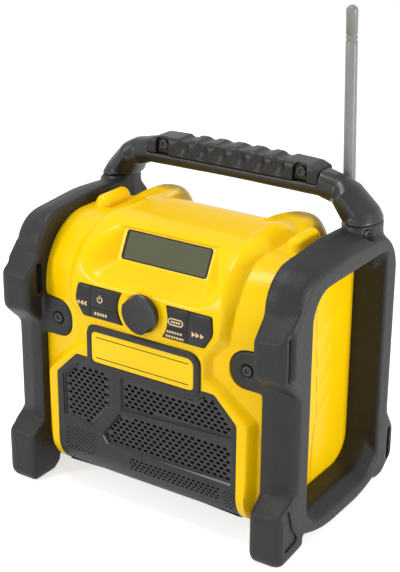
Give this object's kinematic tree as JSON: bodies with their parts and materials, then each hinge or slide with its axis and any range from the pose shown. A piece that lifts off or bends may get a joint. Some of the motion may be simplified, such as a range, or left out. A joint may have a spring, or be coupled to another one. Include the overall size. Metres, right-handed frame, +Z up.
{
  "type": "jobsite radio",
  "caption": "Portable site radio: yellow two-part housing between two roll-cage side frames, screwed handle with finger grooves, perforated grille, keypads, tuning knob, fold-down antenna.",
  "frame": {"origin": "centre of the footprint on the floor, under the middle of the radio", "axes": "+Z up, -Y out of the front with the grille and display, +X to the right seen from the front"},
  "size_m": [0.26, 0.1804, 0.3849],
  "materials": {
    "frame": "fine-grained matte",
    "housing": "satin",
    "grille": "matte",
    "badge": "satin",
    "display": "smooth",
    "board": "satin",
    "key": "matte",
    "knob": "satin",
    "steel": "brushed",
    "metal_dark": "satin",
    "handle": "satin",
    "grip": "matte",
    "screw": "dark zinc",
    "antenna": "satin",
    "basket": "satin",
    "cone": "matte",
    "magnet": "plain",
    "dock": "matte",
    "contact": "polished"
  },
  "bodies": {
    "radio": {"frame_left": "frame", "frame_right": "frame", "front_housing": "housing", "rear_housing": "housing", "grille": "grille", "badge_plate": "badge", "lcd_window": "display", "display_module": "board", "key_board_left": "board", "key_board_right": "board", "encoder_body": "metal_dark", "handle_bar": "handle", "handle_grip": "grip", "grip_screws": "screw", "handle_bolts": "screw", "lug_screws": "screw", "housing_screws": "screw", "antenna_base": "handle", "antenna_pin": "steel", "speaker_basket_left": "basket", "speaker_basket_right": "basket", "speaker_cone_left": "cone", "speaker_cone_right": "cone", "speaker_magnet_left": "magnet", "speaker_magnet_right": "magnet", "main_board": "board", "battery_dock": "dock", "battery_contacts": "contact", "jack_panel": "dock", "aux_jack": "metal_dark", "dc_jack": "metal_dark"},
    "key_rewind": {"key_rewind": "key"},
    "key_power": {"key_power": "key"},
    "key_menu": {"key_menu": "key"},
    "key_mode": {"key_mode": "key"},
    "key_enter": {"key_enter": "key"},
    "key_forward": {"key_forward": "key"},
    "tuning_knob": {"knob": "knob", "encoder_shaft": "steel"},
    "antenna": {"antenna_whip": "antenna"}
  },
  "joints": [
    {"name": "key_rewind_press", "type": "slide", "parent": "radio", "child": "key_rewind", "axis": [0, 1, 0], "range_m": [0, 0.0012], "stiffness_N_per_m": 400},
    {"name": "key_power_press", "type": "slide", "parent": "radio", "child": "key_power", "axis": [0, 1, 0], "range_m": [0, 0.0012], "stiffness_N_per_m": 400},
    {"name": "key_menu_press", "type": "slide", "parent": "radio", "child": "key_menu", "axis": [0, 1, 0], "range_m": [0, 0.0012], "stiffness_N_per_m": 400},
    {"name": "key_mode_press", "type": "slide", "parent": "radio", "child": "key_mode", "axis": [0, 1, 0], "range_m": [0, 0.0012], "stiffness_N_per_m": 400},
    {"name": "key_enter_press", "type": "slide", "parent": "radio", "child": "key_enter", "axis": [0, 1, 0], "range_m": [0, 0.0012], "stiffness_N_per_m": 400},
    {"name": "key_forward_press", "type": "slide", "parent": "radio", "child": "key_forward", "axis": [0, 1, 0], "range_m": [0, 0.0012], "stiffness_N_per_m": 400},
    {"name": "knob_turn", "type": "hinge", "parent": "radio", "child": "tuning_knob", "pos_m": [0, -0.0795, 0.171], "axis": [0, -1, 0], "continuous": true},
    {"name": "antenna_fold", "type": "hinge", "parent": "radio", "child": "antenna", "pos_m": [0.09, 0.07, 0.205], "axis": [0, -1, 0], "range_deg": [0, 90]}
  ]
}
